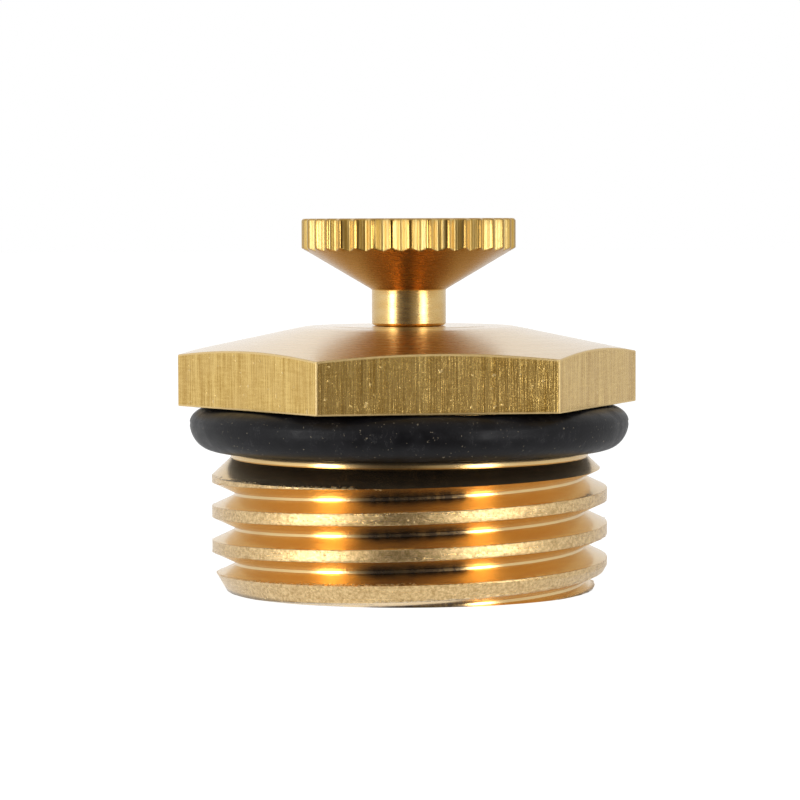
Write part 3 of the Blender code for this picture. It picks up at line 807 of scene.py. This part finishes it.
def make_o_ring(rubber):
    """The pressed ring, with the fine moulding line round its widest part."""
    inner = RING_GROOVE_RADIUS + 0.03 * MM
    middle, width = (inner + RING_RADIUS) / 2, (RING_RADIUS - inner) / 2
    rows = 56
    angles = even_angles(240)
    turn = math.pi / 2 - 2 * math.pi * np.arange(rows) / rows
    rise = np.where(np.sin(turn) > 0, RING_TOP - RING_WIDEST, RING_WIDEST - RING_BOTTOM)
    r = middle + width * np.cos(turn) - RING_SEAM * np.exp(-((turn / 0.035) ** 2))
    z = RING_WIDEST + rise * np.sin(turn)
    outlines = np.broadcast_to(np.stack([r, z], axis=-1), (len(angles), rows, 2)).copy()
    points = revolve(outlines, angles)
    outlines[..., 0] += smooth_noise(points, 260, 5) * 0.03 * MM * (np.cos(turn) > 0.2)
    mesh = grid_mesh("plug_o_ring_fine", revolve(outlines, angles))
    obj = finish_piece(mesh, "plug", "plug_o_ring")
    give(obj, rubber)
    return obj


# ---------------------------------------------------------------- knob


def knob_columns():
    """(angles, share of the flute's depth): 12 columns to a V-shaped flute and its ridge."""
    angles, depths = [], []
    ridge_half = math.pi / FLUTES - FLUTE_HALF
    for i in range(FLUTES):
        middle = FLUTE_PHASE + 2 * math.pi * i / FLUTES
        for t in (-1, -0.7, -0.4, -0.1, 0, 0.1, 0.4, 0.7, 1):
            angles.append(middle + FLUTE_HALF * t)
            depths.append(min(1 - abs(t), 0.94))
        for t in (0.12, 0.5, 0.88):
            angles.append(middle + FLUTE_HALF + 2 * ridge_half * t)
            depths.append(-0.03)
    angles.append(angles[0] + 2 * math.pi)
    depths.append(depths[0])
    return np.array(angles), np.array(depths)


def knob_outline(rim, angle):
    """The knob's outline where its rim is cut to radius rim, from the top's middle to the stem's end."""
    slope = (KNOB_RIM_BOTTOM - NECK_TOP) / (KNOB_RADIUS - NECK_RADIUS)
    rim_bottom = KNOB_RIM_BOTTOM - (KNOB_RADIUS - rim) * slope
    foot = PLATEAU_HEIGHT + 0.03 * MM
    rows = [(0.0, KNOB_TOP - 0.03 * MM), (0.12 * MM, KNOB_TOP - 0.01 * MM), (0.3 * MM, KNOB_TOP)]
    for share in (0.3, 0.55, 0.8, 0.92):
        rows.append((KNOB_RADIUS * share, KNOB_TOP))
    rows += [
        (rim - 0.16 * MM, KNOB_TOP),
        (rim - 0.10 * MM, KNOB_TOP - 0.008 * MM),
        (rim - 0.03 * MM, KNOB_TOP - 0.06 * MM),
        (rim, KNOB_TOP - 0.13 * MM),
    ]
    for share in (0.3, 0.6, 0.93):
        rows.append((rim, KNOB_TOP + (rim_bottom - KNOB_TOP) * share))
    rows += [(rim, rim_bottom + 0.02 * MM), (rim - 0.02 * MM, rim_bottom - 0.02 * MM * slope)]
    cone_start = KNOB_RADIUS - FLUTE_DEPTH - 0.06 * MM
    for share in (0.0, 0.15, 0.35, 0.55, 0.75, 0.9, 0.97):
        radius = cone_start + (NECK_RADIUS - cone_start) * share
        rows.append((radius, KNOB_RIM_BOTTOM - (KNOB_RADIUS - radius) * slope))
    rows += [
        (NECK_RADIUS + 0.03 * MM, NECK_TOP + 0.01 * MM),
        (NECK_RADIUS, NECK_TOP - 0.05 * MM),
    ]
    rows += [(NECK_RADIUS, height) for height in NECK_ROWS]
    rows += [
        (NECK_RADIUS, foot + 0.12 * MM),
        (NECK_RADIUS - 0.02 * MM, foot + 0.09 * MM),
        (NECK_RADIUS - 0.09 * MM, foot + 0.02 * MM),
        (NECK_RADIUS - 0.11 * MM, foot),
        (STEM_RADIUS, foot),
    ]
    stem_rows = 44
    for k in range(stem_rows):
        height = foot + (STEM_END - foot) * (k + 1) / stem_rows
        phase = ((height / STEM_PITCH) - angle / (2 * math.pi)) % 1.0
        depth = min(max(abs(phase - 0.5) * 2 * 1.5 - 0.25, 0), 1)
        fade = min((k + 1) / 4, 1.0) * min((stem_rows - 1 - k) / 3, 1.0)
        rows.append((STEM_RADIUS - STEM_THREAD_DEPTH * (1 - depth) * fade, height))
    bore_end = STEM_END + STEM_BORE_DEPTH
    rows += [(STEM_BORE, STEM_END), (STEM_BORE, bore_end), (0.0, bore_end)]
    return [vent_cut(r, z, angle, foot) for r, z in rows]


def vent_cut(radius, height, angle, foot):
    """The flat along one side of the stem, and the notch that lets the air out under the neck."""
    if radius * math.cos(angle) <= VENT_FLAT:
        return radius, height
    flat_end, notch_top = foot - VENT_FLAT_END, foot + VENT_NOTCH_DEPTH
    in_notch = abs(radius * math.sin(angle)) < VENT_NOTCH_WIDTH / 2
    if in_notch and flat_end < height < notch_top:
        return radius, notch_top
    if height < flat_end:
        return VENT_FLAT / math.cos(angle), height
    return radius, height


def make_knob(bright, knurled, underside_shade, faced):
    angles, depths = knob_columns()
    outlines = np.array(
        [knob_outline(KNOB_RADIUS - FLUTE_DEPTH * d, a) for a, d in zip(angles, depths)]
    )
    land = np.repeat((depths < 0.2).astype(float)[:, None], outlines.shape[1], axis=1)
    mesh = grid_mesh("vent_knob_fine", revolve(outlines, angles), False, {"land": land})
    obj = finish_piece(mesh, "knob", "vent_knob")
    give(obj, bright, knurled, underside_shade, faced)
    for face in obj.data.polygons:
        radius = math.hypot(face.center.x, face.center.y)
        if radius > KNOB_RADIUS - FLUTE_DEPTH * 1.3 and abs(face.normal.z) < 0.45:
            face.material_index = 1
        # The cone under the rim, which looks down, takes the material with painted shade
        elif radius > NECK_RADIUS and face.center.z > NECK_TOP and face.normal.z < -0.45:
            face.material_index = 2
        elif face.center.z > KNOB_TOP - 0.05 * MM:
            face.material_index = 3
    return obj


# ---------------------------------------------------------------- inside the plug

DISC_HOLE_RADIUS = 1.50 * MM
CHECK_HOLE_RADIUS = 1.60 * MM
CHECK_LIP_WIDTH = 0.40 * MM
CHECK_LIP_HEIGHT = 0.20 * MM
POPPET_STEM_RADIUS = 0.90 * MM
POPPET_THICKNESS = 0.50 * MM
PAD_BOSS_RADIUS = 0.80 * MM
PAD_SHOULDER = 0.50 * MM
SNAP_GAP = math.radians(26)
SNAP_CLEARANCE = 0.03 * MM
SPRING_RADIUS = 1.35 * MM
SPRING_WIRE_RADIUS = 0.10 * MM
SPRING_TURNS = 2.5
INLET_HOLE_RADIUS = 1.05 * MM
INLET_HOLE_CIRCLE = 4.60 * MM
STRAINER_SPACING = 1.90 * MM
STRAINER_REACH = 3
STRAINER_HOLE_RADIUS = 0.45 * MM
CAGE_WALL = 0.70 * MM
CAGE_FLOOR = 5.95 * MM
CAGE_FLOOR_THICKNESS = 0.60 * MM
CAGE_SLOT_WIDTH = 1.60 * MM
CAGE_SLOT_SILL = 0.40 * MM
CAGE_HOLE_RADIUS = 0.50 * MM
CAGE_HOLE_CIRCLE = 6.02 * MM
CUT_OVER = 0.5 * MM


def make_turned(node, body, mat, outline, ease):
    """A small turned or pressed piece with its corners eased."""
    obj = finish_piece(turned_mesh(node + "_fine", rounded(outline, ease), 96), body, node)
    give(obj, mat)
    return obj


def make_washer(node, inner, mat, ease=0.05 * MM):
    bottom, top, outer = extent(node)
    outline = [(inner, top), (outer, top), (outer, bottom), (inner, bottom)]
    return make_turned(node, "plug", mat, outline, ease)


def make_fibre_discs(fibre):
    """Punched fibre discs, each a little uneven."""
    nodes = sorted(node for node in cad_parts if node.startswith("fibre_disc"))
    for number, node in enumerate(nodes):
        disc = make_washer(node, DISC_HOLE_RADIUS, fibre, 0.08 * MM)
        for vertex in disc.data.vertices:
            place = vertex.co * 900 + Vector((number * 5.3, 0, 0))
            vertex.co.z += 0.008 * MM * noise.noise(place)


def make_check_valve(turned, acetal, rubber):
    bottom, top, outer = extent("check_seat")
    lip = CHECK_HOLE_RADIUS + CHECK_LIP_WIDTH
    shelf = top - CHECK_LIP_HEIGHT
    seat = [(CHECK_HOLE_RADIUS, top), (lip, top), (lip, shelf), (outer, shelf), (outer, bottom)]
    seat.append((CHECK_HOLE_RADIUS, bottom))
    make_turned("check_seat", "plug", turned, seat, 0.06 * MM)

    bottom, top, outer = extent("check_poppet")
    shoulder = bottom + POPPET_THICKNESS
    poppet = [(0, top), (POPPET_STEM_RADIUS, top), (POPPET_STEM_RADIUS, shoulder), (outer, shoulder)]
    poppet += [(outer, bottom), (0, bottom)]
    make_turned("check_poppet", "check_valve", acetal, poppet, 0.10 * MM)

    bottom, top, outer = extent("poppet_seal")
    seal = [(0, top), (outer, top), (outer, bottom), (0, bottom)]
    make_turned("poppet_seal", "check_valve", rubber, seal, 0.06 * MM)


def make_seat_pad(ptfe):
    face, boss, outer = extent("stem_seat_pad")
    shoulder = face + PAD_SHOULDER
    pad = [(0, boss), (PAD_BOSS_RADIUS, boss), (PAD_BOSS_RADIUS, shoulder), (outer, shoulder)]
    pad += [(outer, face), (0, face)]
    make_turned("stem_seat_pad", "stem_lift", ptfe, pad, 0.05 * MM)


def wire_mesh(name, angles, radius, heights, wire, sides=16):
    """Round wire bent along the angles at a radius and heights, its cut ends a little rounded."""
    girth = np.linspace(0, 2 * math.pi, sides + 1)
    scale = np.ones(len(angles))
    scale[[0, -1]], scale[[1, -2]] = 0.7, 0.93
    scale = np.concatenate([[0.0], scale, [0.0]]) * wire
    around = np.concatenate([angles[:1], angles, angles[-1:]])[:, None]
    middle = np.concatenate([heights[:1], heights, heights[-1:]])[:, None]
    r = radius + scale[:, None] * np.cos(girth)
    z = middle + scale[:, None] * np.sin(girth)
    points = np.stack([r * np.cos(around), r * np.sin(around), z], axis=-1)
    return grid_mesh(name, points.transpose(1, 0, 2), False)


def make_retaining_ring(steel):
    """Open ring of round wire."""
    bottom, top, _ = extent("retaining_ring")
    wire = (top - bottom) / 2
    radius = SNAP_GROOVE_RADIUS - SNAP_CLEARANCE - wire
    angles = np.linspace(SNAP_GAP / 2, 2 * math.pi - SNAP_GAP / 2, 160)
    angles[[1, -2]] = angles[[0, -1]] + np.array([0.2, -0.2]) * wire / radius
    heights = np.full(len(angles), bottom + wire)
    mesh = wire_mesh("retaining_ring_fine", angles, radius, heights, wire)
    give(finish_piece(mesh, "plug", "retaining_ring"), steel)


def make_check_spring(steel):
    """Coil spring, built at one length on a mesh of its own."""
    bottom, top, _ = extent("check_spring")
    angles = np.linspace(0, 2 * math.pi * SPRING_TURNS, 160)
    heights = np.linspace(bottom + SPRING_WIRE_RADIUS, top - SPRING_WIRE_RADIUS, len(angles))
    mesh = wire_mesh("check_spring_fine", angles, SPRING_RADIUS, heights, SPRING_WIRE_RADIUS, 12)
    obj = finish_piece(mesh, "plug", "check_spring")
    give(obj, steel)
    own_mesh(obj)


def make_plate(node, mat, centres, hole_radius, segments, ease):
    """A flat disc with drilled or punched holes."""
    bottom, top, outer = extent(node)
    mesh = cylinders([(0, 0)], outer, bottom, top, 128)
    mesh.name = node + "_fine"
    mesh = cut(mesh, cylinders(centres, hole_radius, bottom - CUT_OVER, top + CUT_OVER, segments))
    obj = finish_piece(mesh, "plug", node)
    ease_edges(obj, ease)
    give(obj, mat)


def make_inlet(turned, steel):
    holes = [(0.0, 0.0)] + ring_of(6, INLET_HOLE_CIRCLE)
    make_plate("inlet_cap", turned, holes, INLET_HOLE_RADIUS, 48, 0.07 * MM)
    holes = []
    reach = range(-STRAINER_REACH, STRAINER_REACH + 1)
    for row in reach:
        for column in reach:
            if abs(row + column) <= STRAINER_REACH:
                x = STRAINER_SPACING * (column + row / 2)
                holes.append((x, STRAINER_SPACING * row * math.sqrt(3) / 2))
    make_plate("inlet_strainer", steel, holes, STRAINER_HOLE_RADIUS, 20, 0.02 * MM)


def make_cage(acetal):
    """The moulded cup, slotted round its wall and drilled round its floor."""
    bottom, top, outer = extent("disc_cage")
    inner = outer - CAGE_WALL
    guide = POPPET_STEM_RADIUS + 0.05 * MM
    floor_top = CAGE_FLOOR + CAGE_FLOOR_THICKNESS
    outline = [(inner, top), (outer, top), (outer, bottom), (inner, bottom), (inner, CAGE_FLOOR)]
    outline += [(guide, CAGE_FLOOR), (guide, floor_top), (inner, floor_top)]
    mesh = turned_mesh("disc_cage_fine", outline, 96)
    sill, rim = floor_top + CAGE_SLOT_SILL, top - 0.6 * MM
    mesh = cut(mesh, slots(8, inner - CUT_OVER, outer + CUT_OVER, CAGE_SLOT_WIDTH, sill, rim))
    holes = ring_of(12, CAGE_HOLE_CIRCLE, math.pi / 12)
    drills = cylinders(holes, CAGE_HOLE_RADIUS, CAGE_FLOOR - CUT_OVER, floor_top + CUT_OVER, 24)
    mesh = cut(mesh, drills)
    obj = finish_piece(mesh, "plug", "disc_cage")
    ease_edges(obj, 0.06 * MM)
    give(obj, acetal)


# ---------------------------------------------------------------- stage, light and camera

CAMERA_AZIMUTH = -7.8
CAMERA_ELEVATION = 3.157
CAMERA_ROLL = -0.2
CAMERA_DISTANCE = 167.4 * MM
CAMERA_LENS = 143.7
TARGET_HEIGHT = 9.844 * MM
TARGET_SIDE = -0.481 * MM
SENSOR_WIDTH = 36

FLOOR_RADIUS = 2.0
FLOOR_COLOUR = (0.25, 0.25, 0.25, 1)
FLOOR_GLOW = 0.95

SOFTBOX_DISTANCE = 0.6
# Name, azimuth from the camera's, elevation, width, height and power. The upper two carry the
# lower two on upwards, much dimmer.
SOFTBOXES = [
    ("softbox_left", -53, -6, 0.17, 0.32, 1.44),
    ("softbox_right", 46, -6, 0.18, 0.32, 1.25),
    ("softbox_left_top", -53, 18, 0.17, 0.18, 0.29),
    ("softbox_right_top", 46, 18, 0.18, 0.18, 0.25),
]


def make_camera():
    data = bpy.data.cameras.new("camera")
    camera = add_object("camera", data)
    data.lens = CAMERA_LENS
    data.sensor_width = SENSOR_WIDTH
    data.clip_start = 0.01
    data.clip_end = 20
    back = direction(CAMERA_AZIMUTH, CAMERA_ELEVATION)
    side = direction(CAMERA_AZIMUTH + 90)
    target = side * TARGET_SIDE + Vector((0, 0, TARGET_HEIGHT))
    camera.location = target + back * CAMERA_DISTANCE
    turn = (-back).to_track_quat("-Z", "Y").to_matrix().to_4x4()
    turn = turn @ Matrix.Rotation(math.radians(CAMERA_ROLL), 4, "Z")
    camera.rotation_euler = turn.to_euler()
    bpy.context.scene.camera = camera


def make_lights():
    middle = Vector((0, 0, 10 * MM))
    for name, azimuth, elevation, width, height, power in SOFTBOXES:
        data = bpy.data.lights.new(name, "AREA")
        data.shape = "RECTANGLE"
        data.size, data.size_y = width, height
        data.energy = power
        lamp = add_object(name, data)
        towards = direction(CAMERA_AZIMUTH + azimuth, elevation)
        lamp.location = towards * SOFTBOX_DISTANCE + middle
        lamp.rotation_euler = (-towards).to_track_quat("-Z", "Y").to_euler()


def make_stage():
    """A pale floor that the metal doesn't reflect."""
    bm = bmesh.new()
    bmesh.ops.create_circle(bm, cap_ends=True, segments=96, radius=FLOOR_RADIUS)
    floor = add_object("floor", take_mesh(bm, "floor"))
    n = Material("pale_floor")
    n.set(Base_Color=FLOOR_COLOUR, Roughness=0.9)
    n.shader.inputs["Specular IOR Level"].default_value = 0.0
    n.shader.inputs["Emission Color"].default_value = WHITE
    n.shader.inputs["Emission Strength"].default_value = FLOOR_GLOW
    give(floor, n.material)
    floor.visible_glossy = False
    floor.visible_diffuse = False


# Brightness of the room by the angle from the camera's side, left negative, in degrees
ROOM = [
    (-180, 1.00),
    (-120, 0.78),
    (-70, 0.95),
    (-36, 0.30),
    (-24, 0.10),
    (0, 0.08),
    (12, 0.27),
    (30, 0.39),
    (60, 0.70),
    (100, 0.75),
    (140, 0.70),
    (180, 1.00),
]
# Above and below the room's walls: where the change starts and ends, as heights on the unit
# sphere, and the brightness beyond
ROOM_BELOW = (-0.60, -0.88, 0.95)
ROOM_CEILING = (0.44, 0.80, 0.50)
# Light from the dim parts of the room is warmer than from its bright parts
WARM_BELOW = 0.10
WHITE_ABOVE = 0.70
WARM = (1.0, 0.86, 0.66, 1)


def room_curve(n, turn):
    """The brightness in ROOM at this share of the way round, from 0 to 1."""
    curve = n.add("FloatCurve", None, Value=turn)
    points = curve.mapping.curves[0].points
    # Drawn at half height, which leaves its round bends room below the curve's limit
    for degrees, value in ROOM[1:-1]:
        points.new((degrees + 180) / 360, value / 2)
    points[0].location = (0, ROOM[0][1] / 2)
    points[len(points) - 1].location = (1, ROOM[-1][1] / 2)
    curve.mapping.update()
    return n.math("MULTIPLY", curve.outputs[0], 2)


def make_world():
    """A white room that is dim on the camera's side, as a studio is. Seen directly, it is all white."""
    world = bpy.data.worlds.new("studio")
    bpy.context.scene.world = world
    world.use_nodes = True
    n = Nodes(world.node_tree)
    n.tree.nodes.clear()
    place = n.add("TexCoord").outputs["Generated"]
    side, front = (n.dot(place, direction(CAMERA_AZIMUTH + turn)) for turn in (90, 0))
    angle = n.math("ARCTAN2", side, front)
    room = room_curve(n, n.spread(angle, -math.pi, math.pi, 0, 1))
    height = n.add("SeparateXYZ", None, Vector=place).outputs["Z"]
    for start, full, brightness in (ROOM_CEILING, ROOM_BELOW):
        room = n.mix_values(n.spread(height, start, full, 0, 1, "SMOOTHSTEP"), room, brightness)
    tint = n.mix(n.spread(room, WARM_BELOW, WHITE_ABOVE, 0, 1), WARM, WHITE)
    seen = n.add("LightPath").outputs["Is Camera Ray"]
    colour, strength = n.mix(seen, tint, WHITE), n.mix_values(seen, room, 1.0)
    shade = n.add("Background", None, Color=colour, Strength=strength)
    n.add("OutputWorld", None, Surface=shade.outputs[0])


# ---------------------------------------------------------------- the whole scene

bpy.context.scene.view_settings.view_transform = "Standard"

drawn = drawn_brass()
turned = turned_brass("turned_brass")
threaded = threaded_brass()
bright = turned_brass("bright_turned_brass", film_rough=0.45)
# The knob's underside cone, painted browner and darker as painted shade
underside_shade = turned_brass("shaded_turned_brass", film_rough=0.45, underside_shade=0.8)
faced = turned_brass("faced_brass", 0.34, 0.46, 0.015, 9, 0.4)
knurled = knurled_brass()
rubber = black_rubber()
steel = spring_steel()
acetal = plastic("white_acetal", ACETAL_PALE, ACETAL_DARK)
ptfe = plastic("white_ptfe", PTFE_PALE, PTFE_DARK)
fibre = pressed_fibre()

make_plug(drawn, turned, threaded)
make_o_ring(rubber)
make_knob(bright, knurled, underside_shade, faced)

make_seat_pad(ptfe)
make_fibre_discs(fibre)
make_washer("top_washer", DISC_HOLE_RADIUS, steel)
make_washer("top_gasket", DISC_HOLE_RADIUS, rubber, 0.10 * MM)
make_washer("cage_seal_ring", CHAMBER_RADIUS + 0.05 * MM, rubber, 0.10 * MM)
make_check_valve(turned, acetal, rubber)
make_cage(acetal)
make_inlet(turned, steel)
make_retaining_ring(steel)
make_check_spring(steel)

make_stage()
make_world()
make_lights()
make_camera()
